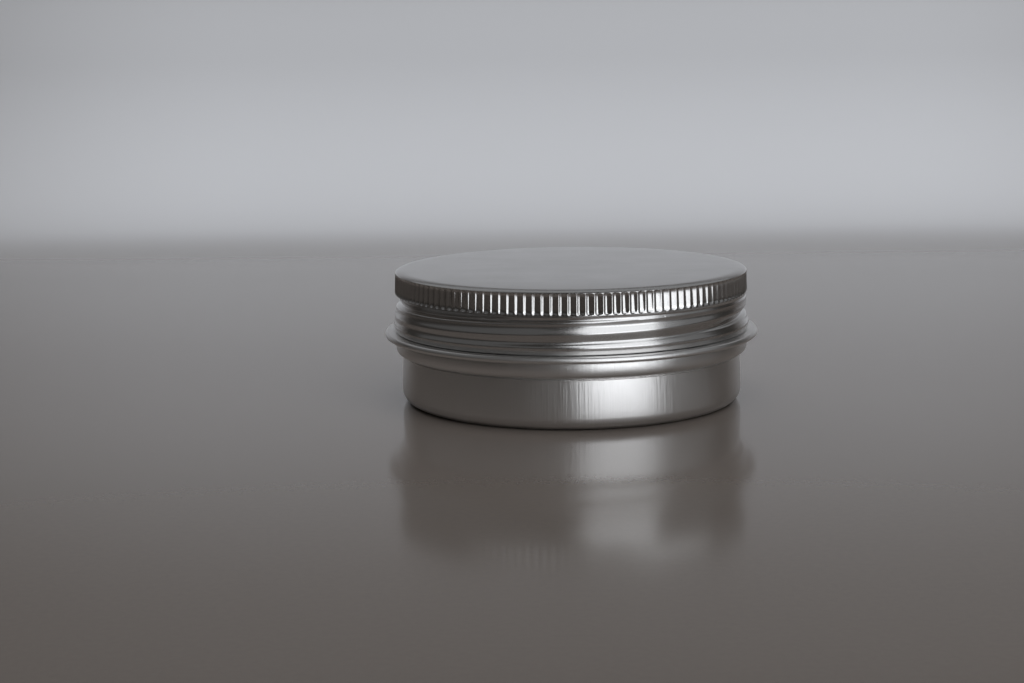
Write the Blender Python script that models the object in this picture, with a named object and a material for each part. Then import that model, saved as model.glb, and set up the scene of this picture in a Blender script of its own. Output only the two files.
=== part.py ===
"""Round screw-top aluminium tin: a drawn base can, a screw lid and a loose foam liner.

Metres, +Z up. The origin is the middle of the foot that the tin stands on, and the
lid turns about the Z axis. Angles run anticlockwise seen from above, from -Y.
"""

import math

import bmesh
import bpy

# Sheet and running clearances
CAN_SHEET = 0.0003
LID_SHEET = 0.00035
SEAT_GAP = 0.0003
THREAD_RUNNING_GAP = 0.00055
LINER_GAP = 0.0003
LINER_SIDE_GAP = 0.00075

# Overall size
TIN_HEIGHT = 0.0256
LID_RADIUS = 0.034
SKIRT_STEP = 0.00025
SKIRT_RADIUS = LID_RADIUS - SKIRT_STEP
CAN_COLUMNS = 64
LID_COLUMNS = 67
LINER_COLUMNS = 64

# Screw thread, one start, right-handed. The lid's groove is a crease with a low swell over
# it; the rows are heights from the thread's middle line, with shares of its depth.
PITCH = 0.004
GROOVE_DEPTH = 0.00095
GROOVE_RISE = 0.0018
GROOVE_FADE_IN = (-150, -110)
GROOVE_FADE_OUT = (320, 390)
GROOVE_ROWS = (-0.00075, -0.00035, 0, 0.00045, 0.0009, 0.0013, 0.0016, 0.0021, 0.0027)
GROOVE_SHARES = (0, -0.63, -1, -0.62, -0.24, 0.24, 0.35, 0.19, 0)
GROOVE_BACK_ROWS = (-0.0011, -0.0006, -0.00012, 0.00015, 0.0007, 0.00115, 0.0016, 0.0021, 0.0027)
GROOVE_BACK_SHARES = (0, -0.55, -1, -1, -0.62, -0.25, 0.1, 0.2, 0)
GROOVE_FOOT_RAMP = 0.00015
RIDGE_DEPTH = 0.00095
RIDGE_LIFT = 0.0017
RIDGE_FADE_IN = (-165, -125)
RIDGE_FADE_OUT = (315, 355)
RIDGE_ROWS = (-0.0014, -0.00085, -0.00035, 0.00035, 0.00085, 0.0014)
RIDGE_BACK_ROWS = (-0.00115, -0.00065, -0.00025, 0.00025, 0.00065, 0.00115)
RIDGE_SHARES = (0, 0.4, 1, 1, 0.4, 0)
THREAD_END_RAMP = 0.0004
ROW_SNAP = 0.00012

# Foam liner
LINER_THICKNESS = 0.00125
LINER_RADIUS = LID_RADIUS - LID_SHEET - LINER_SIDE_GAP

# Base can: rim, threaded neck and folded flange
RIM_TOP = TIN_HEIGHT - LID_SHEET - LINER_THICKNESS - LINER_GAP * 2
RIM_CURL_RADIUS = 0.00025
RIM_STEPS = 4
NECK_RADIUS = SKIRT_RADIUS - LID_SHEET - GROOVE_DEPTH - THREAD_RUNNING_GAP
NECK_HEIGHT = 0.0095
NECK_FILLET = 0.0005
NECK_PLAIN_BOTTOM = 0.00095
NECK_PLAIN_TOP = 0.0007
FLANGE_TOP = RIM_TOP - NECK_HEIGHT
FLANGE_THICKNESS = 0.00115
FLANGE_REACH = 0.0041
FLANGE_RADIUS = NECK_RADIUS + FLANGE_REACH
FLANGE_UNDERSIDE = FLANGE_TOP - FLANGE_THICKNESS
FLANGE_FILLET = 0.0004
FOLD_STEPS = 4

# Base can: shoulder, wall and foot
BODY_OVER_NECK = 0.00095
BODY_RADIUS = NECK_RADIUS + BODY_OVER_NECK
SHOULDER_REACH = 0.00115
SHOULDER_NECKING = 0.0003
SHOULDER_TOP = FLANGE_UNDERSIDE - SHOULDER_NECKING
SHOULDER_HEIGHT = 0.00295
SHOULDER_REACH_SHARES = (0, 0.55, 0.85, 1, 0.92, 0.75)
SHOULDER_HEIGHT_SHARES = (0, 0.1, 0.3, 0.6, 0.9, 1)
WALL_TOP = SHOULDER_TOP - SHOULDER_HEIGHT
CORNER_RADIUS = 0.0024
CORNER_STEPS = 5
FOOT_WIDTH = 0.00115
FOOT_INNER_RADIUS = BODY_RADIUS - CORNER_RADIUS - FOOT_WIDTH
FOOT_RISE = 0.0005
FOOT_SLOPE_WIDTH = 0.0005

# Screw lid
LID_EDGE_RADIUS = 0.0005
LID_EDGE_STEPS = 3
FLUTE_TOP = TIN_HEIGHT - LID_EDGE_RADIUS
FLUTE_HEIGHT = 0.004
FLUTE_BOTTOM = FLUTE_TOP - FLUTE_HEIGHT
FLUTE_DEPTH = 0.00035
FLUTE_RUNOUT = 0.0004
FLUTE_POINTS_PER_COLUMN = 4
FLUTE_BACKING = 0.0003
FLUTE_BACK_RADIUS = LID_RADIUS - FLUTE_DEPTH - FLUTE_BACKING
LIP_HEIGHT = 0.0007
RECESS_BOTTOM = FLUTE_BOTTOM - LIP_HEIGHT
RECESS_DEPTH = 0.00013
RECESS_RISE = 0.00035
SKIRT_THREAD_TOP = RECESS_BOTTOM - RECESS_RISE
CURL_BOTTOM = FLANGE_TOP + SEAT_GAP
CURL_HEIGHT = 0.00105
CURL_REACH = 0.00065
CURL_OUTER_RADIUS = SKIRT_RADIUS + CURL_REACH
CURL_CORNER = 0.0005
CURL_STEPS = 3
CURL_FLARE = 0.0004
SKIRT_THREAD_BOTTOM = CURL_BOTTOM + CURL_HEIGHT
GROOVE_START_HEIGHT = CURL_BOTTOM + GROOVE_RISE
NECK_THREAD_BOTTOM = FLANGE_TOP + NECK_PLAIN_BOTTOM
NECK_THREAD_TOP = RIM_TOP - NECK_PLAIN_TOP


def arc(centre_radius, centre_height, radius, first, last, steps):
    """Profile points (radius, height) along an arc, from one angle to another in degrees."""
    points = []
    for step in range(steps + 1):
        angle = math.radians(first + (last - first) * step / steps)
        across = centre_radius + radius * math.cos(angle)
        up = centre_height + radius * math.sin(angle)
        points.append((across, up))
    return points


def share_between(value, low, high):
    """How far the value has come from low to high, held between 0 and 1."""
    return min(1, max(0, (value - low) / (high - low)))


def eased(share):
    """The same share with a soft start and end."""
    return (1 - math.cos(math.pi * share)) / 2


def form_share(offset, thread):
    """Share of the thread's depth at this height above or below its middle line."""
    rows = thread["rows"]
    shares = thread["shares"]
    for k in range(len(rows) - 1):
        if rows[k] <= offset <= rows[k + 1]:
            along = share_between(offset, rows[k], rows[k + 1])
            return shares[k] + (shares[k + 1] - shares[k]) * along
    return 0


def thread_form(turn, height, thread):
    """Share of the thread's full depth at one place on the wall; turn runs from 0 to 1."""
    total = 0
    for lap in (-1, 0, 1):
        degrees = (turn + lap) * 360
        middle = thread["start"] + PITCH * (turn + lap)
        grown = eased(share_between(degrees, *thread["fade_in"]))
        left = 1 - eased(share_between(degrees, *thread["fade_out"]))
        total += form_share(height - middle, thread) * grown * left
    above = share_between(height - thread["bottom"], 0, thread["foot_ramp"])
    below = share_between(thread["end"] - height, 0, THREAD_END_RAMP)
    return total * above * below


def corner(mesh, turn, radius, height):
    """A new vertex at this share of a turn from -Y, anticlockwise from above."""
    angle = math.tau * turn
    return mesh.verts.new((radius * math.sin(angle), -radius * math.cos(angle), height))


def level_ring(mesh, columns, radius, height):
    """One level ring of vertices."""
    return [corner(mesh, k / columns, radius, height) for k in range(columns)]


def add_face(mesh, corners):
    """A face through these vertices, leaving out repeated ones."""
    kept = list(dict.fromkeys(corners))
    if len(kept) > 2:
        mesh.faces.new(kept)


def join_rings(mesh, first, second):
    """Quads between two rings of the same count."""
    count = len(first)
    for k in range(count):
        after = (k + 1) % count
        add_face(mesh, (first[k], first[after], second[after], second[k]))


def join_to_finer(mesh, coarse, fine):
    """Faces from a ring to one with an even multiple of its vertices."""
    count = len(coarse)
    ratio = len(fine) // count
    for k in range(count):
        after = (k + 1) % count
        start = k * ratio
        middle = start + ratio // 2
        end = start + ratio
        for near, first, last in ((k, start, middle), (after, middle, end)):
            for point in range(first, last):
                following = fine[(point + 1) % len(fine)]
                add_face(mesh, (coarse[near], fine[point], following))
        add_face(mesh, (coarse[k], fine[middle], coarse[after]))


def close_ring(mesh, ring, height):
    """A fan from a ring to its middle point."""
    middle = mesh.verts.new((0, 0, height))
    count = len(ring)
    for k in range(count):
        add_face(mesh, (ring[k], ring[(k + 1) % count], middle))


def add_profile(mesh, columns, points, ring=None):
    """Level rings along a profile, each joined to the one before; gives the last ring."""
    for radius, height in points:
        following = level_ring(mesh, columns, radius, height)
        if ring:
            join_rings(mesh, ring, following)
        ring = following
    return ring


def threaded_wall(mesh, columns, radius_at, thread):
    """A wall whose rows follow the thread, cut off level at its bottom and top rings."""
    low_height = thread["bottom"]
    high_height = thread["top"]
    low = []
    high = []
    for k in range(columns):
        turn = k / columns
        low.append(corner(mesh, turn, radius_at(turn, low_height), low_height))
        high.append(corner(mesh, turn, radius_at(turn, high_height), high_height))
    offsets = thread["rows"]
    rows = len(offsets)
    placed = {}

    def vertex(column, row):
        if column == columns:
            column = 0
            row += rows
        lap, place = divmod(row, rows)
        turn = column / columns
        height = thread["start"] + PITCH * (turn + lap) + offsets[place]
        if height < low_height + ROW_SNAP:
            return low[column]
        if height > high_height - ROW_SNAP:
            return high[column]
        if (column, row) not in placed:
            radius = radius_at(turn, height)
            placed[column, row] = corner(mesh, turn, radius, height)
        return placed[column, row]

    laps_below = math.ceil((thread["start"] - low_height) / PITCH) + 2
    laps_above = math.ceil((high_height - thread["start"]) / PITCH) + 2
    for column in range(columns):
        for row in range(-laps_below * rows, laps_above * rows):
            side = (
                vertex(column, row),
                vertex(column + 1, row),
                vertex(column + 1, row + 1),
                vertex(column, row + 1),
            )
            add_face(mesh, side)
    return low, high


def make_material(name, colour, metallic, roughness):
    """A Principled material."""
    material = bpy.data.materials.new(name)
    material.use_nodes = True
    shader = material.node_tree.nodes["Principled BSDF"]
    shader.inputs["Base Color"].default_value = (*colour, 1)
    shader.inputs["Metallic"].default_value = metallic
    shader.inputs["Roughness"].default_value = roughness
    return material


def finish_object(name, mesh, material):
    """Turns the finished mesh into an object with its faces outwards, shaded smooth."""
    bmesh.ops.recalc_face_normals(mesh, faces=mesh.faces)
    data = bpy.data.meshes.new(name)
    mesh.to_mesh(data)
    mesh.free()
    data.shade_smooth()
    data.set_sharp_from_angle(angle=math.radians(35))
    data.materials.append(material)
    made = bpy.data.objects.new(name, data)
    bpy.context.scene.collection.objects.link(made)
    return made


def make_base_can(material):
    """Drawn can: foot, straight wall, bulged shoulder, folded flange, threaded neck and rim."""
    mesh = bmesh.new()
    thread_start = GROOVE_START_HEIGHT + RIDGE_LIFT
    corner_middle = BODY_RADIUS - CORNER_RADIUS
    fold = FLANGE_THICKNESS / 2
    fold_middle = FLANGE_TOP - fold
    fold_centre = FLANGE_RADIUS - fold
    neck_inner = NECK_RADIUS - CAN_SHEET

    outside = {
        "start": thread_start,
        "fade_in": RIDGE_FADE_IN,
        "fade_out": RIDGE_FADE_OUT,
        "rows": RIDGE_ROWS,
        "shares": RIDGE_SHARES,
        "bottom": NECK_THREAD_BOTTOM,
        "foot_ramp": THREAD_END_RAMP,
        "top": NECK_THREAD_TOP,
        "end": NECK_THREAD_TOP,
    }
    inside = dict(outside, rows=RIDGE_BACK_ROWS)

    def neck_outside(turn, height):
        return NECK_RADIUS + RIDGE_DEPTH * thread_form(turn, height, outside)

    def neck_inside(turn, height):
        return neck_inner + RIDGE_DEPTH * thread_form(turn, height, inside)

    shoulder = []
    for reach_share, height_share in zip(SHOULDER_REACH_SHARES, SHOULDER_HEIGHT_SHARES):
        radius = BODY_RADIUS + SHOULDER_REACH * reach_share
        shoulder.append((radius, WALL_TOP + SHOULDER_HEIGHT * height_share))
    waist = shoulder[-1][0]

    # Outer face, from the middle of the bottom up to the neck
    lower = [(FOOT_INNER_RADIUS - FOOT_SLOPE_WIDTH, FOOT_RISE), (FOOT_INNER_RADIUS, 0)]
    lower += arc(corner_middle, CORNER_RADIUS, CORNER_RADIUS, -90, 0, CORNER_STEPS)
    lower += shoulder
    lower.append((waist + FLANGE_FILLET, FLANGE_UNDERSIDE))
    lower += arc(fold_centre, fold_middle, fold, -90, 90, FOLD_STEPS)
    lower.append((NECK_RADIUS + NECK_FILLET, FLANGE_TOP))
    lower.append((NECK_RADIUS, FLANGE_TOP + NECK_FILLET))
    ring = add_profile(mesh, CAN_COLUMNS, lower[:1])
    close_ring(mesh, ring, FOOT_RISE)
    ring = add_profile(mesh, CAN_COLUMNS, lower[1:], ring)
    low, high = threaded_wall(mesh, CAN_COLUMNS, neck_outside, outside)
    join_rings(mesh, ring, low)

    # Rim: the cut edge is curled a little outwards
    curl_centre = NECK_RADIUS - CAN_SHEET / 2
    curl = arc(curl_centre, RIM_TOP - RIM_CURL_RADIUS, RIM_CURL_RADIUS, 0, 180, RIM_STEPS)
    ring = add_profile(mesh, CAN_COLUMNS, curl, high)

    # Inner face, from the rim down to the middle of the bottom
    low, high = threaded_wall(mesh, CAN_COLUMNS, neck_inside, inside)
    join_rings(mesh, ring, high)
    slit_top = FLANGE_TOP - CAN_SHEET
    inner_fold = fold - CAN_SHEET
    inner = [(neck_inner, FLANGE_TOP + NECK_FILLET - CAN_SHEET)]
    inner.append((neck_inner + NECK_FILLET, slit_top))
    inner += arc(fold_centre, fold_middle, inner_fold, 90, -90, FOLD_STEPS)
    inner.append((waist + FLANGE_FILLET - CAN_SHEET, FLANGE_UNDERSIDE + CAN_SHEET))
    for radius, height in reversed(shoulder):
        inner.append((radius - CAN_SHEET, height + CAN_SHEET / 2))
    corner_inner = CORNER_RADIUS - CAN_SHEET
    inner += arc(corner_middle, CORNER_RADIUS, corner_inner, 0, -90, CORNER_STEPS)
    inner.append((FOOT_INNER_RADIUS - CAN_SHEET / 2, CAN_SHEET))
    inner.append((FOOT_INNER_RADIUS - FOOT_SLOPE_WIDTH - CAN_SHEET / 2, FOOT_RISE + CAN_SHEET))
    ring = add_profile(mesh, CAN_COLUMNS, inner, low)
    close_ring(mesh, ring, FOOT_RISE + CAN_SHEET)
    return finish_object("base_can", mesh, material)


def make_screw_lid(material):
    """Flat lid: fluted grip band, pressed screw groove and a curled lower edge."""
    mesh = bmesh.new()
    skirt_inner = SKIRT_RADIUS - LID_SHEET
    outside = {
        "start": GROOVE_START_HEIGHT,
        "fade_in": GROOVE_FADE_IN,
        "fade_out": GROOVE_FADE_OUT,
        "rows": GROOVE_ROWS,
        "shares": GROOVE_SHARES,
        "bottom": SKIRT_THREAD_BOTTOM,
        "foot_ramp": GROOVE_FOOT_RAMP,
        "top": SKIRT_THREAD_TOP,
        "end": FLUTE_BOTTOM,
    }
    inside = dict(outside, rows=GROOVE_BACK_ROWS, shares=GROOVE_BACK_SHARES)

    def skirt_outside(turn, height):
        flare = 1 - eased(share_between(height - SKIRT_THREAD_BOTTOM, 0, CURL_FLARE))
        plain = SKIRT_RADIUS + CURL_REACH * flare
        return plain + GROOVE_DEPTH * thread_form(turn, height, outside)

    def skirt_inside(turn, height):
        return skirt_inner + GROOVE_DEPTH * thread_form(turn, height, inside)

    def recess_ring(radius, height, thread):
        ring = []
        for k in range(LID_COLUMNS):
            turn = k / LID_COLUMNS
            groove = radius + GROOVE_DEPTH * thread_form(turn, height, thread)
            ring.append(corner(mesh, turn, min(radius - RECESS_DEPTH, groove), height))
        return ring

    # Outer face, from the middle of the top down to the curled edge
    edge_centre = LID_RADIUS - LID_EDGE_RADIUS
    edge_height = TIN_HEIGHT - LID_EDGE_RADIUS
    edge = arc(edge_centre, edge_height, LID_EDGE_RADIUS, 90, 0, LID_EDGE_STEPS)
    ring = add_profile(mesh, LID_COLUMNS, edge[:1])
    close_ring(mesh, ring, TIN_HEIGHT)
    ring = add_profile(mesh, LID_COLUMNS, edge[1:], ring)
    fine = LID_COLUMNS * FLUTE_POINTS_PER_COLUMN
    bands = []
    for height in (FLUTE_TOP - FLUTE_RUNOUT, FLUTE_BOTTOM + FLUTE_RUNOUT):
        band = []
        for k in range(fine):
            radius = LID_RADIUS - FLUTE_DEPTH * (k % 2)
            band.append(corner(mesh, k / fine, radius, height))
        bands.append(band)
    low, high = threaded_wall(mesh, LID_COLUMNS, skirt_outside, outside)
    join_to_finer(mesh, ring, bands[0])
    join_rings(mesh, bands[0], bands[1])
    recess = recess_ring(SKIRT_RADIUS, RECESS_BOTTOM, outside)
    join_rings(mesh, high, recess)
    lip = add_profile(mesh, LID_COLUMNS, [(LID_RADIUS, FLUTE_BOTTOM)], recess)
    join_to_finer(mesh, lip, bands[1])
    corner_centre = CURL_OUTER_RADIUS - CURL_CORNER
    curl = arc(corner_centre, CURL_BOTTOM + CURL_CORNER, CURL_CORNER, 0, -90, CURL_STEPS)
    curl.append((skirt_inner + CURL_CORNER / 2, CURL_BOTTOM))
    curl.append((skirt_inner, CURL_BOTTOM + CURL_CORNER / 2))
    ring = add_profile(mesh, LID_COLUMNS, curl, low)

    # Inner face, from the curled edge up to the middle of the top
    low, high = threaded_wall(mesh, LID_COLUMNS, skirt_inside, inside)
    join_rings(mesh, ring, low)
    recess = recess_ring(skirt_inner, RECESS_BOTTOM, inside)
    join_rings(mesh, high, recess)
    inner_edge = LID_EDGE_RADIUS - LID_SHEET
    top_inside = TIN_HEIGHT - LID_SHEET
    inner = [(FLUTE_BACK_RADIUS, FLUTE_BOTTOM + FLUTE_RUNOUT)]
    inner += arc(
        FLUTE_BACK_RADIUS - inner_edge, top_inside - inner_edge, inner_edge, 0, 90, 2
    )
    ring = add_profile(mesh, LID_COLUMNS, inner, recess)
    close_ring(mesh, ring, top_inside)
    return finish_object("screw_lid", mesh, material)


def make_foam_liner(material):
    """Loose foam disc held in the lid's top, clear of the can's rim."""
    bottom = RIM_TOP + LINER_GAP
    mesh = bmesh.new()
    bmesh.ops.create_cone(
        mesh,
        cap_ends=True,
        segments=LINER_COLUMNS,
        radius1=LINER_RADIUS,
        radius2=LINER_RADIUS,
        depth=LINER_THICKNESS,
    )
    bmesh.ops.translate(mesh, vec=(0, 0, bottom + LINER_THICKNESS / 2), verts=mesh.verts)
    return finish_object("foam_liner", mesh, material)


def main():
    for old in list(bpy.data.objects):
        bpy.data.objects.remove(old, do_unlink=True)
    can_metal = make_material("drawn_aluminium", (0.60, 0.59, 0.57), 1, 0.3)
    lid_metal = make_material("rolled_aluminium", (0.62, 0.61, 0.59), 1, 0.32)
    foam = make_material("white_foam", (0.84, 0.84, 0.82), 0, 0.85)
    make_base_can(can_metal)
    make_screw_lid(lid_metal)
    make_foam_liner(foam)


main()
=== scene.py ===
import math

import bmesh
import bpy
from mathutils import Matrix, Vector


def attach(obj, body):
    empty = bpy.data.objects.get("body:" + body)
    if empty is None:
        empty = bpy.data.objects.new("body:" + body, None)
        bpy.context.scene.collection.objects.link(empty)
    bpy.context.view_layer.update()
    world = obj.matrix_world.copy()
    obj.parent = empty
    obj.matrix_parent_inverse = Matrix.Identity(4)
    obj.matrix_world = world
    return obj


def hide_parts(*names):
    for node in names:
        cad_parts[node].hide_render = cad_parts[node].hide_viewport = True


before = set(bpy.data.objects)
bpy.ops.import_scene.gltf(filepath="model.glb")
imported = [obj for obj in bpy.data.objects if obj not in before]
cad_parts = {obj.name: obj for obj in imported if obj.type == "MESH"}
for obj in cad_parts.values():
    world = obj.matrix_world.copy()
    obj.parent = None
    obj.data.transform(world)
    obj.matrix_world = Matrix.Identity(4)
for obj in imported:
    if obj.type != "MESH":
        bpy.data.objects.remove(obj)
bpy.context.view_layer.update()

# Lengths are in metres, and heights are above the foot that the tin stands on.
# Angles run anticlockwise seen from above, from the side that faces the camera.

# Whole tin
MM = 0.001
TIN_HEIGHT = 25.6 * MM
LID_RADIUS = 34.0 * MM
LID_SHEET = 0.35 * MM
CAN_SHEET = 0.3 * MM

# Screw thread, one start, right-handed. The groove in the lid is a crease with a low swell
# over it; on the can the ridge is rolled outwards. A profile's points are a height in mm over
# the thread's middle line and a share of the depth; a fade's two ends are angles in degrees.
PITCH = 4.0 * MM
ROWS_PER_PITCH = 36
THREAD_END_RAMP = 0.4 * MM
ROW_SNAP = 0.04 * MM
GROOVE_START = 16.0 * MM
GROOVE_DEPTH = 1.1 * MM
GROOVE_SHALLOW_SHARE = 0.10
GROOVE_DEEPENS = (22, 90)
GROOVE_FADE_IN = (-150, -110)
GROOVE_FADE_OUT = (320, 390)
GROOVE_FOOT_RAMP = 0.15 * MM
GROOVE_PROFILE = ((-0.28, 0.0), (-0.12, -0.22), (0.04, -0.72), (0.18, -0.98), (0.32, -1.0),
                  (0.60, -0.88), (1.00, -0.66), (1.40, -0.43), (1.80, -0.23), (2.20, -0.09),
                  (2.60, -0.02), (2.80, 0.0))
GROOVE_BACK_PROFILE = ((-0.60, 0.0), (-0.40, -0.30), (-0.15, -0.85), (0.30, -1.0), (0.60, -0.80),
                       (1.00, -0.54), (1.40, -0.33), (1.80, -0.15), (2.20, -0.04), (2.50, 0.0))
SWELL_LIFT = 0.30 * MM
SWELL_PROFILE = ((0.0, 0.0), (0.15, 0.06), (0.40, 0.20), (0.80, 0.45), (1.20, 0.72),
                 (1.50, 0.91), (1.70, 1.0), (1.85, 0.98), (2.20, 0.64), (2.55, 0.26), (2.95, 0.0))
PROFILE_STEP = 0.02 * MM
PROFILE_SOFTNESS = 7
PROFILE_MARGIN = 0.2 * MM
RIDGE_LIFT = 1.7 * MM
RIDGE_DEPTH = 0.95 * MM
RIDGE_FADE_IN = (-165, -125)
RIDGE_FADE_OUT = (315, 355)
RIDGE_HALF_WIDTH = 1.4 * MM
RIDGE_BACK_HALF_WIDTH = 1.15 * MM
RIDGE_CREST_SHARE = 0.15

# Screw lid. The points of a form are a radius and a height in mm, but those of the skirt
# are a height and the radius there.
FLUTES = 134
FLUTE_SHIFT = 0.3
LID_COLUMNS = FLUTES * 10
LID_INNER_COLUMNS = FLUTES * 2
LID_EDGE_FORM = ((31.9, 25.60), (32.3, 25.58), (32.6, 25.545), (32.9, 25.495), (33.15, 25.44),
                 (33.35, 25.385), (33.53, 25.325), (33.66, 25.26), (33.75, 25.19), (33.80, 25.12))
LID_INNER_EDGE_RADIUS = 0.5 * MM
FLUTE_FOOT_DEPTH = 0.30 * MM
FLUTE_HEAD_DEPTH = 0.38 * MM
FLUTE_BAND_LEAN = 0.15 * MM
FLUTE_DEEPEST = 0.25
FLUTE_END = 0.93
FLUTE_STEEP_POWER = 1.6
FLUTE_EASY_POWER = 1.8
FLUTE_HEAD_POWER = 10
FLUTE_TOP = 25.10 * MM
FLUTE_BOTTOM = 21.1 * MM
FLUTE_ROWS = 26
FLUTE_BACK_RADIUS = 33.35 * MM
SKIRT_RADIUS = 33.75 * MM
LIP_FORM = ((33.82, 20.05), (33.805, 20.11), (33.77, 20.20), (33.72, 20.31), (33.67, 20.41),
            (33.645, 20.50), (33.66, 20.58), (33.72, 20.70), (33.81, 20.83), (33.90, 20.95),
            (33.96, 21.04))
SKIRT_FORM = ((15.25, 34.335), (15.40, 34.34), (15.52, 34.32), (15.66, 34.25), (15.85, 34.15),
              (16.03, 34.05), (16.18, 33.97), (16.30, 33.92), (16.42, 33.89), (16.60, 33.875),
              (17.00, 33.865), (17.60, 33.845), (18.10, 33.81), (18.60, 33.76), (19.00, 33.72),
              (19.40, 33.725), (19.75, 33.77), (20.05, 33.82))
SKIRT_THREAD_BOTTOM = 15.25 * MM
SKIRT_THREAD_TOP = 20.05 * MM
HEM_FORM = ((34.325, 15.10), (34.30, 14.92), (34.265, 14.75), (34.225, 14.58), (34.19, 14.40),
            (34.15, 14.20), (34.10, 14.09), (34.00, 14.02))

# Base can. The points of a form are a radius and a height in mm.
CAN_COLUMNS = 360
FOOT_INNER_RADIUS = 29.3 * MM
FOOT_RISE = 0.5 * MM
FOOT_SLOPE_WIDTH = 0.5 * MM
BODY_RADIUS = 32.85 * MM
BODY_CORNER = 2.4 * MM
WALL_FORM = ((32.84, 3.6), (32.805, 5.0), (32.74, 6.5), (32.655, 8.0), (32.575, 9.18))
SHOULDER_FORM = ((32.50, 9.22), (32.32, 9.24), (32.20, 9.28), (32.27, 9.36), (32.50, 9.52),
                 (32.82, 9.64), (33.18, 9.73), (33.47, 9.83), (33.68, 9.98), (33.82, 10.20),
                 (33.92, 10.48), (33.98, 10.80), (34.00, 11.15), (34.00, 11.50), (33.98, 11.90),
                 (33.94, 12.25), (33.89, 12.52), (33.86, 12.63), (33.93, 12.71))
FLANGE_RADIUS = 36.0 * MM
FLANGE_UNDERSIDE = 12.75 * MM
FLANGE_TOP = 13.9 * MM
FLANGE_FORM = ((35.45, 12.75), (35.68, 12.79), (35.84, 12.88), (35.93, 12.99), (35.98, 13.11),
               (36.0, 13.25), (35.99, 13.38), (35.95, 13.52), (35.88, 13.66), (35.79, 13.78),
               (35.68, 13.87), (35.50, 13.90))
FLANGE_FILLET = 0.4 * MM
NECK_RADIUS = 31.9 * MM
NECK_FILLET = 0.5 * MM
NECK_THREAD_BOTTOM = 14.85 * MM
NECK_THREAD_TOP = 22.7 * MM
RIM_TOP = 23.4 * MM
RIM_CURL_RADIUS = 0.25 * MM

# Foam liner
LINER_RADIUS = 32.9 * MM
LINER_COLUMNS = 180
LINER_EDGE_GAP = 0.3 * MM
LINER_EDGE_RADIUS = 0.25 * MM
RIM_MARK_RADIUS = 31.75 * MM
RIM_MARK_HALF_WIDTH = 0.5 * MM
RIM_MARK_DEPTH = 0.12 * MM
RIM_MARK_STEPS = 4

# Finishes. Patterns are given by how many features fit in a metre, and a face counts as flat
# by the upright share of its normal.
DRAW_LINES = (2800, 2800, 40)
BROAD_DRAW_LINES = (700, 700, 25)
BROAD_LINE_STRENGTH = 0.6
PUNCH_RINGS = (3500, 1, 1)
ROLLING_GRAIN = (50, 4000, 4000)
FLAT_FROM, FLAT_FULLY = 0.75, 0.97
CLOUDS = 130.0
CLOUD_FROM, CLOUD_FULLY = 0.3, 0.7
SPECKS = 520.0
SPECK_MIDDLE, SPECK_EDGE = 0.01, 0.05
SPECK_SHARE = 0.5
LINE_ROUGHNESS = 0.10
SPECK_ROUGHNESS = 0.18
BURNISHED_ROUGHNESS = -0.1
LID_METAL = {
    "name": "rolled_aluminium_satin",
    "colour": ("#d4d3d2", "#dad9d8", "#979593"),
    "roughness": 0.17,
    "roughness_spread": 0.015,
    "upright_depth": 0.004 * MM,
    "flat_depth": 0.003 * MM,
    "ringed": False,
    "burnished": (FLUTE_BOTTOM, FLUTE_TOP),
}
CAN_METAL = {
    "name": "drawn_aluminium_satin",
    "colour": ("#edeceb", "#f2f1f0", "#a3a09e"),
    "roughness": 0.28,
    "roughness_spread": 0.03,
    "upright_depth": 0.027 * MM,
    "flat_depth": 0.004 * MM,
    "ringed": True,
    "burnished": None,
}
FOAM_COLOURS = ("#e9e8e4", "#f1f0ed")
FOAM_CELLS = 2500.0
FOAM_PATCHES = 220.0
FOAM_DIMPLE_DEPTH = 0.06 * MM
FOAM_DIMPLE_STRENGTH = 0.7
FOAM_ROUGHNESS = 0.75
FOAM_SUBSURFACE = 0.15
FOAM_SCATTER = 0.6 * MM

# Camera, fitted to the ellipses and edges of the tin in the photograph
PHOTO_WIDTH = 1024
SENSOR_WIDTH_MM = 36
FOCAL_PIXELS = 1850
CAMERA_DISTANCE = 355.6 * MM
CAMERA_HEIGHT = 71.1 * MM
CAMERA_PITCH = math.radians(9.6)
CAMERA_YAW = math.radians(-1.849)
CAMERA_ROLL = math.radians(-0.8)
CAMERA_CLIP_START = 10 * MM


# Stage: one board that is a table in front and curves up into a wall behind
TABLE_COLOURS = ("#68605b", "#6e665f")
TABLE_MOTTLE = 900.0
TABLE_ROUGHNESS = 0.13
TABLE_HALF_WIDTH = 1.6
TABLE_DEPTH = 0.18
WALL_COLOUR = "#c3c4c7"
WALL_ROUGHNESS = 0.9
WALL_DEPTH = 0.36
WALL_HEIGHT = 0.2
# The wall's pale paint and glow are a painted pool of light: full at the lower middle of the
# back, fading towards its sides and towards its top
PAINTED_POOL_MIDDLE = 0.12
WALL_HALF_WIDTH = 0.45
WALL_GLOW = 0.31
PAINTED_POOL_FADE = (0.07, 0.17)
PAINTED_POOL_TOP_SHARE = 0.3
COVE_RADIUS = 0.06
COVE_LEAD = 0.012
COVE_STEPS = 30
LAMP_COLOUR = "#f8fbff"
ROOM_COLOUR = "#302e2c"

# Soft lamps that face the tin: name, azimuth from the camera's side and elevation in
# degrees, distance, width, height, power in watts, and whether the metal mirrors it
LAMPS = (
    ("window", 32, 28, 1.6, 1.45, 1.85, 10.8, True),
    ("window_low", 32, 4.5, 1.55, 1.4, 0.26, 1.0, True),
    ("window_side", 66, 26, 1.6, 0.5, 1.3, 0.38, True),
    ("window_far_side", 90, 24, 1.6, 0.8, 1.1, 0.38, True),
    ("left_room", -68, 34, 1.3, 2.8, 0.9, 0.5, True),
    ("back_room", 180, 58, 1.5, 3.0, 1.6, 3.6, True),
    ("overhead", 0, 88, 1.5, 1.2, 1.2, 1.5, False),
    ("fill", 10, 70, 1.5, 1.6, 1.6, 9.4, False),
    ("back", 208, 46, 1.5, 1.3, 0.8, 2.8, False),
)


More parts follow.
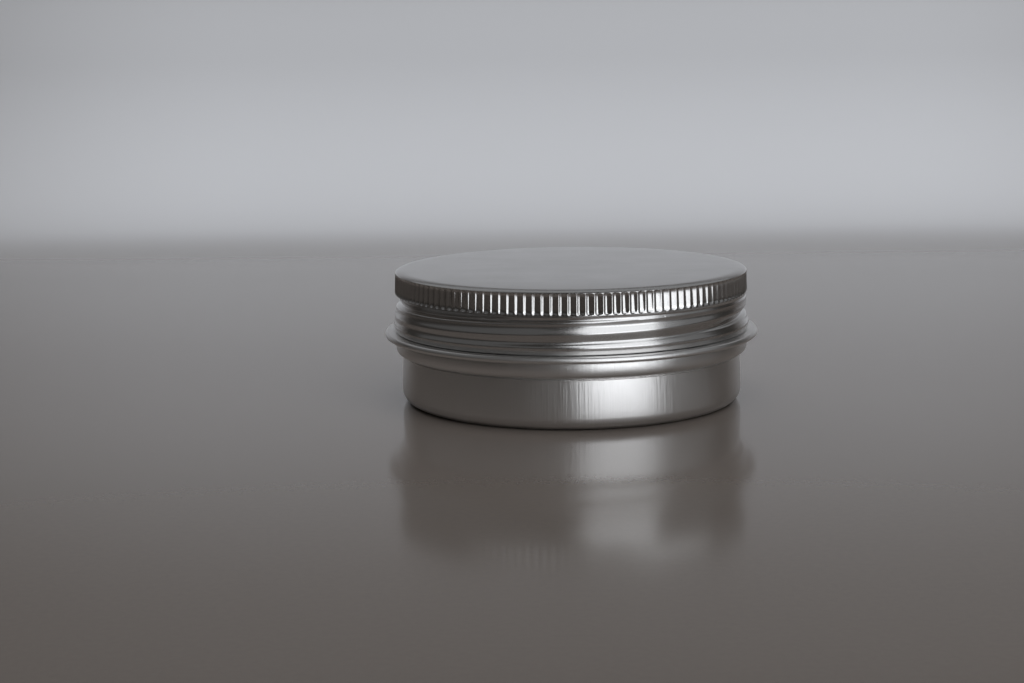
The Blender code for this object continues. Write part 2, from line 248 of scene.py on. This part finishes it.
def arc(centre_radius, centre_height, radius, first, last, steps):
    """Profile points (radius, height) along an arc, between two angles in degrees."""
    points = []
    for step in range(steps + 1):
        angle = math.radians(first + (last - first) * step / steps)
        across = centre_radius + radius * math.cos(angle)
        up = centre_height + radius * math.sin(angle)
        points.append((across, up))
    return points


def share_between(value, low, high):
    """How far the value has come from low to high, held between 0 and 1."""
    return min(1, max(0, (value - low) / (high - low)))


def eased(share):
    """The same share with a soft start and end."""
    return (1 - math.cos(math.pi * share)) / 2


def on_profile(points, place):
    """Height of a profile at one place; both are in the profile's own units."""
    if place <= points[0][0]:
        return points[0][1]
    for near, far in zip(points, points[1:]):
        if place < far[0]:
            return near[1] + (far[1] - near[1]) * share_between(place, near[0], far[0])
    return points[-1][1]


def profile_form(points):
    """A profile in millimetres with its corners rounded, as a function of a length in metres."""
    first, last = points[0][0] * MM - PROFILE_MARGIN, points[-1][0] * MM + PROFILE_MARGIN
    count = round((last - first) / PROFILE_STEP)
    around = range(-PROFILE_SOFTNESS, PROFILE_SOFTNESS + 1)
    table = []
    for k in range(count + 2):
        near = [on_profile(points, (first + (k + step) * PROFILE_STEP) / MM) for step in around]
        table.append(sum(near) / len(near))

    def form(offset):
        place = min(count, max(0, (offset - first) / PROFILE_STEP))
        k = int(place)
        return table[k] + (table[k + 1] - table[k]) * (place - k)
    return form


def ridge_form(half_width):
    """Rounded ridge of this half width, as a function of the height beside its middle line."""
    def form(offset):
        return eased(share_between(
            half_width - abs(offset), 0, half_width * (1 - RIDGE_CREST_SHARE)
        ))
    return form


def thread_form(turn, height, thread):
    """Share of the thread's full depth at one place on the wall; turn runs from 0 to 1."""
    total = 0
    for lap in (-1, 0, 1):
        degrees = (turn + lap) * 360
        grown = eased(share_between(degrees, *thread["fade_in"]))
        left = 1 - eased(share_between(degrees, *thread["fade_out"]))
        if grown * left > 0:
            middle = thread["start"] + PITCH * (turn + lap)
            shallow, deepens = thread["shallow"], thread["deepens"]
            share = shallow + (1 - shallow) * eased(share_between(degrees, *deepens))
            total += thread["form"](height - middle) * grown * left * share
    above = share_between(height - thread["bottom"], 0, thread["foot_ramp"])
    below = share_between(thread["end"] - height, 0, THREAD_END_RAMP)
    return total * eased(above) * eased(below)


def corner(mesh, turn, radius, height):
    """A new vertex at this share of a turn, anticlockwise from the camera's side."""
    angle = math.tau * turn
    return mesh.verts.new((radius * math.sin(angle), -radius * math.cos(angle), height))


def level_ring(mesh, columns, radius, height):
    """One level ring of vertices."""
    return [corner(mesh, k / columns, radius, height) for k in range(columns)]


def add_face(mesh, corners):
    """A face through these vertices, leaving out repeated ones."""
    kept = list(dict.fromkeys(corners))
    if len(kept) > 2:
        mesh.faces.new(kept)


def join_rings(mesh, first, second):
    """Faces between two rings; the second may have a multiple of the first's vertices."""
    count = len(first)
    ratio = len(second) // count
    for k in range(count):
        after = (k + 1) % count
        far = [second[(k * ratio + step) % len(second)] for step in range(ratio + 1)]
        add_face(mesh, [first[k]] + far + [first[after]])


def close_ring(mesh, ring, height):
    """A fan from a ring to its middle point."""
    middle = mesh.verts.new((0, 0, height))
    count = len(ring)
    for k in range(count):
        add_face(mesh, (ring[k], ring[(k + 1) % count], middle))


def add_profile(mesh, columns, points, ring=None):
    """Level rings along a profile, each joined to the one before; gives the last ring."""
    for radius, height in points:
        following = level_ring(mesh, columns, radius, height)
        if ring:
            join_rings(mesh, ring, following)
        ring = following
    return ring


def threaded_wall(mesh, columns, radius_at, thread):
    """A wall whose rows follow the thread, cut off level at its bottom and top rings."""
    low_height = thread["bottom"]
    high_height = thread["top"]
    low = []
    high = []
    for k in range(columns):
        turn = k / columns
        low.append(corner(mesh, turn, radius_at(turn, low_height), low_height))
        high.append(corner(mesh, turn, radius_at(turn, high_height), high_height))
    placed = {}

    def vertex(column, row):
        if column == columns:
            column = 0
            row += ROWS_PER_PITCH
        turn = column / columns
        height = thread["start"] + PITCH * (turn + row / ROWS_PER_PITCH)
        if height < low_height + ROW_SNAP:
            return low[column]
        if height > high_height - ROW_SNAP:
            return high[column]
        if (column, row) not in placed:
            radius = radius_at(turn, height)
            placed[column, row] = corner(mesh, turn, radius, height)
        return placed[column, row]

    laps_below = math.ceil((thread["start"] - low_height) / PITCH) + 2
    laps_above = math.ceil((high_height - thread["start"]) / PITCH) + 1
    for column in range(columns):
        for row in range(-laps_below * ROWS_PER_PITCH, laps_above * ROWS_PER_PITCH):
            side = (
                vertex(column, row),
                vertex(column + 1, row),
                vertex(column + 1, row + 1),
                vertex(column, row + 1),
            )
            add_face(mesh, side)
    return low, high


def finish_piece(name, mesh, material, sharp_degrees=50):
    """Turns the finished mesh into a smooth-shaded object in this material."""
    bmesh.ops.recalc_face_normals(mesh, faces=mesh.faces)
    data = bpy.data.meshes.new(name)
    mesh.to_mesh(data)
    mesh.free()
    data.shade_smooth()
    data.set_sharp_from_angle(angle=math.radians(sharp_degrees))
    data.materials.append(material)
    piece = bpy.data.objects.new(name, data)
    bpy.context.scene.collection.objects.link(piece)
    return piece


# Materials

def linear(colour):
    """An sRGB hex colour as linear RGBA."""
    channels = [int(colour[k:k + 2], 16) / 255 for k in (1, 3, 5)]
    turned = [c / 12.92 if c <= 0.04045 else ((c + 0.055) / 1.055) ** 2.4 for c in channels]
    return (*turned, 1)


def add_node(tree, kind, settings=None, inputs=None):
    """Adds a node with these settings, and input values or links.

    A node that blends colours takes them at 6 and 7 and gives the blend at 2.
    """
    node = tree.nodes.new(kind)
    for name, value in (settings or {}).items():
        setattr(node, name, value)
    for name, value in (inputs or {}).items():
        if isinstance(value, bpy.types.NodeSocket):
            tree.links.new(value, node.inputs[name])
        else:
            node.inputs[name].default_value = value
    return node


def new_material(name):
    """An empty material with its shader; gives the material, its tree and the shader."""
    material = bpy.data.materials.new(name)
    material.use_nodes = True
    tree = material.node_tree
    return material, tree, tree.nodes["Principled BSDF"]


def lines_along(tree, place, stretch, detail=3):
    """Noise drawn out into fine lines: the stretch is how many features fit in a metre."""
    mapped = add_node(tree, "ShaderNodeMapping", inputs={"Vector": place, "Scale": stretch})
    return add_node(
        tree, "ShaderNodeTexNoise",
        inputs={"Vector": mapped.outputs["Vector"], "Scale": 1.0, "Detail": detail},
    ).outputs["Fac"]


def sheet_aluminium(
    name, colour, roughness, roughness_spread, upright_depth, flat_depth, ringed, burnished
):
    """Bare sheet aluminium with a satin mill finish.

    Drawing it through a die leaves fine upright lines on the walls. The flat faces keep
    the sheet's straight rolling grain, or rings where a spinning punch pressed them.
    A knurling wheel burnishes the band of flutes between the two burnished heights.
    """
    material, tree, shader = new_material(name)
    place = add_node(tree, "ShaderNodeTexCoord").outputs["Object"]
    normal = add_node(tree, "ShaderNodeNewGeometry").outputs["Normal"]
    up = add_node(tree, "ShaderNodeSeparateXYZ", inputs={"Vector": normal}).outputs["Z"]
    level = add_node(tree, "ShaderNodeMath", {"operation": "ABSOLUTE"}, {0: up}).outputs[0]
    flat = add_node(
        tree, "ShaderNodeMapRange",
        inputs={"Value": level, "From Min": FLAT_FROM, "From Max": FLAT_FULLY},
    ).outputs["Result"]

    # Draw lines are 0.1 to 0.4 mm apart and run the whole height of the wall
    upright = lines_along(tree, place, DRAW_LINES, detail=4)
    broad = lines_along(tree, place, BROAD_DRAW_LINES, detail=2)
    if ringed:
        around = add_node(
            tree, "ShaderNodeVectorMath", {"operation": "MULTIPLY"},
            {0: place, 1: (1, 1, 0)},
        ).outputs["Vector"]
        from_axis = add_node(
            tree, "ShaderNodeVectorMath", {"operation": "LENGTH"}, {0: around}
        ).outputs["Value"]
        rings = add_node(tree, "ShaderNodeCombineXYZ", inputs={"X": from_axis}).outputs["Vector"]
        grain = lines_along(tree, rings, PUNCH_RINGS)
    else:
        # Rolling grain runs straight across the sheet, in lines 0.2 mm apart and 20 mm long
        grain = lines_along(tree, place, ROLLING_GRAIN)

    # Handling leaves slightly duller clouds 5 to 10 mm across and a few fine specks
    clouds = add_node(
        tree, "ShaderNodeTexNoise", inputs={"Vector": place, "Scale": CLOUDS, "Detail": 4.0}
    ).outputs["Fac"]
    dots = add_node(
        tree, "ShaderNodeTexVoronoi", inputs={"Vector": place, "Scale": SPECKS}
    ).outputs["Distance"]
    marks = add_node(
        tree, "ShaderNodeMapRange",
        inputs={
            "Value": dots, "From Min": SPECK_MIDDLE, "From Max": SPECK_EDGE,
            "To Min": SPECK_SHARE, "To Max": 0.0,
        },
    ).outputs["Result"]
    specks = add_node(
        tree, "ShaderNodeMath", {"operation": "MULTIPLY"}, {0: marks, 1: flat}
    ).outputs[0]

    lines = add_node(
        tree, "ShaderNodeMix", inputs={"Factor": flat, "A": upright, "B": grain}
    ).outputs["Result"]
    dull = add_node(
        tree, "ShaderNodeMapRange",
        inputs={
            "Value": clouds, "From Min": CLOUD_FROM, "From Max": CLOUD_FULLY,
            "To Min": roughness - roughness_spread, "To Max": roughness + roughness_spread,
        },
    ).outputs["Result"]
    lined = add_node(
        tree, "ShaderNodeMath", {"operation": "MULTIPLY_ADD"},
        {0: lines, 1: LINE_ROUGHNESS, 2: dull},
    ).outputs[0]
    speckled = add_node(
        tree, "ShaderNodeMath", {"operation": "MULTIPLY_ADD"},
        {0: specks, 1: SPECK_ROUGHNESS, 2: lined},
    ).outputs[0]
    if burnished:
        height = add_node(tree, "ShaderNodeSeparateXYZ", inputs={"Vector": place}).outputs["Z"]
        low, high = burnished
        band = add_node(
            tree, "ShaderNodeMath", {"operation": "COMPARE"},
            {0: height, 1: (low + high) / 2, 2: (high - low) / 2},
        ).outputs[0]
        speckled = add_node(
            tree, "ShaderNodeMath", {"operation": "MULTIPLY_ADD"},
            {0: band, 1: BURNISHED_ROUGHNESS, 2: speckled},
        ).outputs[0]
    tree.links.new(speckled, shader.inputs["Roughness"])

    tint = add_node(
        tree, "ShaderNodeMix", {"data_type": "RGBA"},
        {"Factor": clouds, 6: linear(colour[0]), 7: linear(colour[1])},
    ).outputs[2]
    spotted = add_node(
        tree, "ShaderNodeMix", {"data_type": "RGBA"},
        {"Factor": specks, 6: tint, 7: linear(colour[2])},
    ).outputs[2]
    tree.links.new(spotted, shader.inputs["Base Color"])

    depth = add_node(
        tree, "ShaderNodeMix", inputs={"Factor": flat, "A": upright_depth, "B": flat_depth}
    ).outputs["Result"]
    fine = add_node(
        tree, "ShaderNodeBump",
        inputs={"Strength": 1.0, "Distance": depth, "Height": lines},
    ).outputs["Normal"]
    wide = add_node(
        tree, "ShaderNodeBump",
        inputs={
            "Strength": BROAD_LINE_STRENGTH, "Distance": upright_depth,
            "Height": broad, "Normal": fine,
        },
    ).outputs["Normal"]
    tree.links.new(wide, shader.inputs["Normal"])
    shader.inputs["Metallic"].default_value = 1
    return material


def foam_sheet():
    """Expanded polyethylene foam: dull white, dimpled by closed cells about 0.4 mm across."""
    material, tree, shader = new_material("expanded_polyethylene_foam")
    place = add_node(tree, "ShaderNodeTexCoord").outputs["Object"]
    cells = add_node(
        tree, "ShaderNodeTexVoronoi", {"feature": "SMOOTH_F1"},
        {"Vector": place, "Scale": FOAM_CELLS},
    ).outputs["Distance"]
    patches = add_node(
        tree, "ShaderNodeTexNoise",
        inputs={"Vector": place, "Scale": FOAM_PATCHES, "Detail": 3.0},
    ).outputs["Fac"]
    white = add_node(
        tree, "ShaderNodeMix", {"data_type": "RGBA"},
        {"Factor": patches, 6: linear(FOAM_COLOURS[0]), 7: linear(FOAM_COLOURS[1])},
    ).outputs[2]
    tree.links.new(white, shader.inputs["Base Color"])
    bump = add_node(
        tree, "ShaderNodeBump",
        inputs={
            "Strength": FOAM_DIMPLE_STRENGTH, "Distance": FOAM_DIMPLE_DEPTH, "Height": cells
        },
    ).outputs["Normal"]
    tree.links.new(bump, shader.inputs["Normal"])
    shader.inputs["Roughness"].default_value = FOAM_ROUGHNESS
    shader.inputs["Subsurface Weight"].default_value = FOAM_SUBSURFACE
    shader.inputs["Subsurface Radius"].default_value = (FOAM_SCATTER,) * 3
    shader.inputs["Subsurface Scale"].default_value = 1
    return material


def make_lid(material):
    """Pressed lid: flat top, fluted grip band, slanting screw groove and curled edge."""
    mesh = bmesh.new()
    skirt_inner = SKIRT_RADIUS - LID_SHEET
    flute_middle = (FLUTE_TOP + FLUTE_BOTTOM) / 2
    flute_half = (FLUTE_TOP - FLUTE_BOTTOM) / 2
    outside = {
        "start": GROOVE_START,
        "fade_in": GROOVE_FADE_IN,
        "fade_out": GROOVE_FADE_OUT,
        "form": profile_form(GROOVE_PROFILE),
        "shallow": GROOVE_SHALLOW_SHARE,
        "deepens": GROOVE_DEEPENS,
        "bottom": SKIRT_THREAD_BOTTOM,
        "foot_ramp": GROOVE_FOOT_RAMP,
        "top": SKIRT_THREAD_TOP,
        "end": FLUTE_BOTTOM,
    }
    inside = dict(outside, form=profile_form(GROOVE_BACK_PROFILE))
    swell = dict(outside, form=profile_form(SWELL_PROFILE), shallow=1)
    plain_skirt = profile_form(SKIRT_FORM)

    def skirt_outside(turn, height):
        thread = GROOVE_DEPTH * thread_form(turn, height, outside)
        return plain_skirt(height) * MM + thread + SWELL_LIFT * thread_form(turn, height, swell)

    def skirt_inside(turn, height):
        return skirt_inner + GROOVE_DEPTH * thread_form(turn, height, inside)

    def lip_ring(columns, radius, height, wall, thread):
        ring = []
        for k in range(columns):
            turn = k / columns
            groove = wall + GROOVE_DEPTH * thread_form(turn, height, thread)
            reach = min(radius, groove) if groove < wall else radius
            ring.append(corner(mesh, turn, reach, height))
        return ring

    def flute_depth(turn, height):
        across = (turn * FLUTES + FLUTE_SHIFT) % 1
        along = (height - flute_middle) / flute_half
        if across < FLUTE_DEEPEST:
            side = (1 - across / FLUTE_DEEPEST) ** FLUTE_STEEP_POWER
        else:
            risen = (across - FLUTE_DEEPEST) / (FLUTE_END - FLUTE_DEEPEST)
            side = risen ** FLUTE_EASY_POWER
        hollow = 1 - side - abs(along) ** FLUTE_HEAD_POWER
        depth = FLUTE_FOOT_DEPTH + (FLUTE_HEAD_DEPTH - FLUTE_FOOT_DEPTH) * (1 + along) / 2
        return depth * max(0, hollow) + FLUTE_BAND_LEAN * (1 + along) / 2

    # Outer face, from the middle of the top down to the curled edge
    edge = [(radius * MM, height * MM) for radius, height in LID_EDGE_FORM]
    ring = level_ring(mesh, LID_INNER_COLUMNS, LID_RADIUS / 2, TIN_HEIGHT)
    close_ring(mesh, ring, TIN_HEIGHT)
    ring = add_profile(mesh, LID_COLUMNS, edge, ring)
    for row in range(FLUTE_ROWS + 1):
        height = FLUTE_TOP + (FLUTE_BOTTOM - FLUTE_TOP) * eased(row / FLUTE_ROWS)
        band = []
        for k in range(LID_COLUMNS):
            turn = k / LID_COLUMNS
            band.append(corner(mesh, turn, LID_RADIUS - flute_depth(turn, height), height))
        join_rings(mesh, ring, band)
        ring = band
    low, high = threaded_wall(mesh, LID_COLUMNS, skirt_outside, outside)
    # The lip's lowest point is the top of the threaded skirt
    for radius, height in reversed(LIP_FORM[1:]):
        following = lip_ring(LID_COLUMNS, radius * MM, height * MM, SKIRT_RADIUS, outside)
        join_rings(mesh, ring, following)
        ring = following
    join_rings(mesh, ring, high)
    hem = [(radius * MM, height * MM) for radius, height in HEM_FORM]
    hem_bottom = hem[-1][1]
    ring = add_profile(mesh, LID_COLUMNS, hem, low)

    # Inner face, from the curled edge up to the middle of the top
    under = [(skirt_inner + LID_SHEET / 2, hem_bottom)]
    coarse = level_ring(mesh, LID_INNER_COLUMNS, *under[0])
    join_rings(mesh, coarse, ring)
    lip = [(skirt_inner, hem_bottom + LID_SHEET / 2)]
    ring = add_profile(mesh, LID_INNER_COLUMNS, lip, coarse)
    low, high = threaded_wall(mesh, LID_INNER_COLUMNS, skirt_inside, inside)
    join_rings(mesh, ring, low)
    inner_edge = LID_INNER_EDGE_RADIUS - LID_SHEET
    top_inside = TIN_HEIGHT - LID_SHEET
    # Inside, the sheet follows only the lower, inward part of the lip
    for radius, height in LIP_FORM[2:6]:
        inset = radius * MM - LID_SHEET
        following = lip_ring(LID_INNER_COLUMNS, inset, height * MM, skirt_inner, inside)
        join_rings(mesh, high, following)
        high = following
    inner = [(FLUTE_BACK_RADIUS, FLUTE_BOTTOM + FLUTE_HEAD_DEPTH)]
    inner += arc(
        FLUTE_BACK_RADIUS - inner_edge, top_inside - inner_edge, inner_edge, 0, 90, 4
    )
    ring = add_profile(mesh, LID_INNER_COLUMNS, inner, high)
    close_ring(mesh, ring, top_inside)
    return finish_piece("lid_shell", mesh, material, sharp_degrees=75)


def make_can(material):
    """Drawn can: foot, straight wall, bulged shoulder, folded flange, threaded neck and rim."""
    mesh = bmesh.new()
    corner_middle = BODY_RADIUS - BODY_CORNER
    fold = (FLANGE_TOP - FLANGE_UNDERSIDE) / 2
    fold_middle = FLANGE_TOP - fold
    fold_centre = FLANGE_RADIUS - fold
    neck_inner = NECK_RADIUS - CAN_SHEET
    outside = {
        "start": GROOVE_START + RIDGE_LIFT,
        "fade_in": RIDGE_FADE_IN,
        "fade_out": RIDGE_FADE_OUT,
        "form": ridge_form(RIDGE_HALF_WIDTH),
        "shallow": 1,
        "deepens": RIDGE_FADE_IN,
        "bottom": NECK_THREAD_BOTTOM,
        "foot_ramp": THREAD_END_RAMP,
        "top": NECK_THREAD_TOP,
        "end": NECK_THREAD_TOP,
    }
    inside = dict(outside, form=ridge_form(RIDGE_BACK_HALF_WIDTH))

    def neck_outside(turn, height):
        return NECK_RADIUS + RIDGE_DEPTH * thread_form(turn, height, outside)

    def neck_inside(turn, height):
        return neck_inner + RIDGE_DEPTH * thread_form(turn, height, inside)

    # Outer face, from the middle of the bottom up to the neck
    lower = [(FOOT_INNER_RADIUS - FOOT_SLOPE_WIDTH, FOOT_RISE), (FOOT_INNER_RADIUS, 0)]
    lower += arc(corner_middle, BODY_CORNER, BODY_CORNER, -90, 0, 12)
    lower += [(radius * MM, height * MM) for radius, height in WALL_FORM + SHOULDER_FORM]
    waist = SHOULDER_FORM[-1][0] * MM
    lower.append((waist + FLANGE_FILLET, FLANGE_UNDERSIDE))
    lower += [(radius * MM, height * MM) for radius, height in FLANGE_FORM]
    lower.append((NECK_RADIUS + NECK_FILLET, FLANGE_TOP))
    lower += arc(
        NECK_RADIUS + NECK_FILLET, FLANGE_TOP + NECK_FILLET, NECK_FILLET, -120, -180, 3
    )
    ring = add_profile(mesh, CAN_COLUMNS, lower[:1])
    close_ring(mesh, ring, FOOT_RISE)
    ring = add_profile(mesh, CAN_COLUMNS, lower[1:], ring)
    low, high = threaded_wall(mesh, CAN_COLUMNS, neck_outside, outside)
    join_rings(mesh, ring, low)

    # Rim: the cut edge is curled a little outwards
    curl_centre = NECK_RADIUS - CAN_SHEET / 2
    curl = arc(curl_centre, RIM_TOP - RIM_CURL_RADIUS, RIM_CURL_RADIUS, 0, 180, 8)
    ring = add_profile(mesh, CAN_COLUMNS, curl, high)

    # Inner face, from the rim down to the middle of the bottom
    low, high = threaded_wall(mesh, CAN_COLUMNS, neck_inside, inside)
    join_rings(mesh, ring, high)
    slit_top = FLANGE_TOP - CAN_SHEET
    inner = [(neck_inner, FLANGE_TOP + NECK_FILLET - CAN_SHEET)]
    inner.append((neck_inner + NECK_FILLET, slit_top))
    inner += arc(fold_centre, fold_middle, fold - CAN_SHEET, 90, -90, 8)
    inner.append((waist + FLANGE_FILLET - CAN_SHEET, FLANGE_UNDERSIDE + CAN_SHEET))
    # The inner face skips the shoulder's first four points, which are the crease under it
    for radius, height in reversed(SHOULDER_FORM[4:-1]):
        inner.append((radius * MM - CAN_SHEET, height * MM + CAN_SHEET / 2))
    inner.append((SHOULDER_FORM[1][0] * MM - CAN_SHEET, WALL_FORM[-1][1] * MM))
    inner += arc(corner_middle, BODY_CORNER, BODY_CORNER - CAN_SHEET, 0, -90, 10)
    inner.append((FOOT_INNER_RADIUS - CAN_SHEET / 2, CAN_SHEET))
    panel = FOOT_RISE + CAN_SHEET
    inner.append((FOOT_INNER_RADIUS - FOOT_SLOPE_WIDTH - CAN_SHEET / 2, panel))
    ring = add_profile(mesh, CAN_COLUMNS, inner, low)
    close_ring(mesh, ring, panel)
    return finish_piece("can_shell", mesh, material)


def make_liner(material):
    """Die-cut foam disc, with a shallow ring pressed into its underside by the can's rim."""
    mesh = bmesh.new()
    bottom = RIM_TOP + LINER_EDGE_GAP
    top = TIN_HEIGHT - LID_SHEET - LINER_EDGE_GAP
    edge_centre = LINER_RADIUS - LINER_EDGE_RADIUS
    profile = [(RIM_MARK_RADIUS - RIM_MARK_HALF_WIDTH * 2, bottom)]
    for step in range(-RIM_MARK_STEPS, RIM_MARK_STEPS + 1):
        across = RIM_MARK_RADIUS + RIM_MARK_HALF_WIDTH * step / RIM_MARK_STEPS
        pressed = eased(1 - abs(step) / RIM_MARK_STEPS)
        profile.append((across, bottom + RIM_MARK_DEPTH * pressed))
    profile += arc(edge_centre, bottom + LINER_EDGE_RADIUS, LINER_EDGE_RADIUS, -90, 0, 4)
    profile += arc(edge_centre, top - LINER_EDGE_RADIUS, LINER_EDGE_RADIUS, 0, 90, 4)
    ring = add_profile(mesh, LINER_COLUMNS, profile[:1])
    close_ring(mesh, ring, bottom)
    ring = add_profile(mesh, LINER_COLUMNS, profile[1:], ring)
    close_ring(mesh, ring, top)
    return finish_piece("liner_disc", mesh, material)


lid = make_lid(sheet_aluminium(**LID_METAL))
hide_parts("screw_lid")
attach(lid, "lid")

can = make_can(sheet_aluminium(**CAN_METAL))
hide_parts("base_can")
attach(can, "can")

liner = make_liner(foam_sheet())
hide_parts("foam_liner")
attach(liner, "liner")


# Floor, backdrop, light and camera

def graduated_board():
    """Lacquered board, painted from table grey to pale grey at the middle of the back.

    The change from table to wall is the board's own paint. The pale part also glows with its own
    colour to the camera and in the metal, so that the lamps stay low on the tin. Its paint and
    glow are a painted pool of light, brightest at the lower middle of the back and fading towards
    its top and sides.
    """
    material, tree, shader = new_material("graduated_lacquered_board")
    place = add_node(tree, "ShaderNodeTexCoord").outputs["Object"]
    spot = add_node(tree, "ShaderNodeSeparateXYZ", inputs={"Vector": place}).outputs
    behind = add_node(
        tree, "ShaderNodeMapRange", {"interpolation_type": "SMOOTHSTEP"},
        {"Value": spot["Y"], "From Min": TABLE_DEPTH, "From Max": WALL_DEPTH},
    ).outputs["Result"]
    aside = add_node(tree, "ShaderNodeMath", {"operation": "ABSOLUTE"}, {0: spot["X"]}).outputs[0]
    # Painted pool of light: the pale paint and glow fade towards the sides of the wall
    middle = add_node(
        tree, "ShaderNodeMapRange", {"interpolation_type": "SMOOTHSTEP"},
        {
            "Value": aside, "From Min": PAINTED_POOL_MIDDLE, "From Max": WALL_HALF_WIDTH,
            "To Min": 1.0, "To Max": 0.0,
        },
    ).outputs["Result"]
    # Painted pool of light: the pale paint and glow fade towards the top of the wall
    low = add_node(
        tree, "ShaderNodeMapRange", {"interpolation_type": "SMOOTHSTEP"},
        {
            "Value": spot["Z"], "From Min": PAINTED_POOL_FADE[0], "From Max": PAINTED_POOL_FADE[1],
            "To Min": 1.0, "To Max": PAINTED_POOL_TOP_SHARE,
        },
    ).outputs["Result"]
    wall_and_painted_pool_across = add_node(
        tree, "ShaderNodeMath", {"operation": "MULTIPLY"}, {0: behind, 1: middle}
    ).outputs[0]
    # Share of the pale wall paint, shaped into a painted pool of light
    far = add_node(
        tree, "ShaderNodeMath", {"operation": "MULTIPLY"}, {0: wall_and_painted_pool_across, 1: low}
    ).outputs[0]
    mottle = add_node(
        tree, "ShaderNodeTexNoise",
        inputs={"Vector": place, "Scale": TABLE_MOTTLE, "Detail": 3.0},
    ).outputs["Fac"]
    table = add_node(
        tree, "ShaderNodeMix", {"data_type": "RGBA"},
        {"Factor": mottle, 6: linear(TABLE_COLOURS[0]), 7: linear(TABLE_COLOURS[1])},
    ).outputs[2]
    tone = add_node(
        tree, "ShaderNodeMix", {"data_type": "RGBA"},
        {"Factor": far, 6: table, 7: linear(WALL_COLOUR)},
    ).outputs[2]
    tree.links.new(tone, shader.inputs["Base Color"])
    dull = add_node(
        tree, "ShaderNodeMapRange",
        inputs={"Value": far, "To Min": TABLE_ROUGHNESS, "To Max": WALL_ROUGHNESS},
    ).outputs["Result"]
    tree.links.new(dull, shader.inputs["Roughness"])
    path = add_node(tree, "ShaderNodeLightPath").outputs
    seen = add_node(
        tree, "ShaderNodeMath", {"operation": "MAXIMUM"},
        {0: path["Is Camera Ray"], 1: path["Is Glossy Ray"]},
    ).outputs[0]
    # The painted pool of light glows to the camera and in glossy reflections
    painted_pool_glow = add_node(
        tree, "ShaderNodeMath", {"operation": "MULTIPLY"}, {0: seen, 1: far}
    ).outputs[0]
    strength = add_node(
        tree, "ShaderNodeMath", {"operation": "MULTIPLY"}, {0: painted_pool_glow, 1: WALL_GLOW}
    ).outputs[0]
    tree.links.new(strength, shader.inputs["Emission Strength"])
    shader.inputs["Emission Color"].default_value = linear(WALL_COLOUR)
    shader.inputs["Specular IOR Level"].default_value = 0.5
    return material


def make_backing(name, line, material):
    """A plain sheet of the stage, through rows of (half width, depth, height)."""
    mesh = bmesh.new()
    rows = [[mesh.verts.new((x, y, z)) for x in (-half, half)] for half, y, z in line]
    for near, far in zip(rows, rows[1:]):
        mesh.faces.new((near[0], near[1], far[1], far[0]))
    data = bpy.data.meshes.new(name)
    mesh.to_mesh(data)
    mesh.free()
    data.shade_smooth()
    data.materials.append(material)
    backing = bpy.data.objects.new(name, data)
    bpy.context.scene.collection.objects.link(backing)


def add_softbox(name, azimuth, elevation, distance, width, height, power, reflected):
    """A rectangular soft light that faces the tin, this far round from the camera's side."""
    light = bpy.data.lights.new(name, "AREA")
    light.shape = "RECTANGLE"
    light.size = width
    light.size_y = height
    light.energy = power
    light.color = linear(LAMP_COLOUR)[:3]
    lamp = bpy.data.objects.new(name, light)
    lamp.visible_glossy = reflected
    round_angle = math.radians(azimuth)
    up_angle = math.radians(elevation)
    reach = math.cos(up_angle)
    away = Vector((
        reach * math.sin(round_angle), -reach * math.cos(round_angle), math.sin(up_angle)
    ))
    lamp.location = away * distance
    lamp.rotation_euler = away.to_track_quat("Z", "Y").to_euler()
    bpy.context.scene.collection.objects.link(lamp)


def add_camera():
    """The camera of the photograph: a short way above the table, rolled by about a degree."""
    turn_cos, turn_sin = math.cos(CAMERA_YAW), math.sin(CAMERA_YAW)
    tilt_cos, tilt_sin = math.cos(CAMERA_PITCH), math.sin(CAMERA_PITCH)
    roll_cos, roll_sin = math.cos(CAMERA_ROLL), math.sin(CAMERA_ROLL)
    right = Vector((turn_cos, -turn_sin, 0))
    ahead = Vector((turn_sin * tilt_cos, turn_cos * tilt_cos, -tilt_sin))
    up = Vector((turn_sin * tilt_sin, turn_cos * tilt_sin, tilt_cos))
    rolled_right = right * roll_cos + up * roll_sin
    rolled_up = up * roll_cos - right * roll_sin
    data = bpy.data.cameras.new("camera")
    data.sensor_width = SENSOR_WIDTH_MM
    data.lens = SENSOR_WIDTH_MM * FOCAL_PIXELS / PHOTO_WIDTH
    data.clip_start = CAMERA_CLIP_START
    camera = bpy.data.objects.new("camera", data)
    bpy.context.scene.collection.objects.link(camera)
    turned = Matrix((rolled_right, rolled_up, -ahead)).transposed().to_4x4()
    camera.matrix_world = Matrix.Translation((0, -CAMERA_DISTANCE, CAMERA_HEIGHT)) @ turned
    bpy.context.scene.camera = camera


board = graduated_board()
cove = arc(WALL_DEPTH - COVE_RADIUS, COVE_RADIUS, COVE_RADIUS, -90, 0, COVE_STEPS)
sweep = [(TABLE_HALF_WIDTH, -TABLE_HALF_WIDTH, 0), (TABLE_HALF_WIDTH, TABLE_DEPTH, 0)]
sweep.append((WALL_HALF_WIDTH, WALL_DEPTH - COVE_RADIUS - COVE_LEAD, 0))
sweep += [(WALL_HALF_WIDTH, depth, height) for depth, height in cove]
sweep.append((WALL_HALF_WIDTH, WALL_DEPTH, WALL_HEIGHT))
make_backing("studio_board", sweep, board)
for lamp in LAMPS:
    add_softbox(*lamp)
add_camera()

world = bpy.data.worlds.new("studio")
world.use_nodes = True
world.node_tree.nodes["Background"].inputs["Color"].default_value = linear(ROOM_COLOUR)
world.node_tree.nodes["Background"].inputs["Strength"].default_value = 1
bpy.context.scene.world = world
bpy.context.scene.view_settings.view_transform = "Standard"
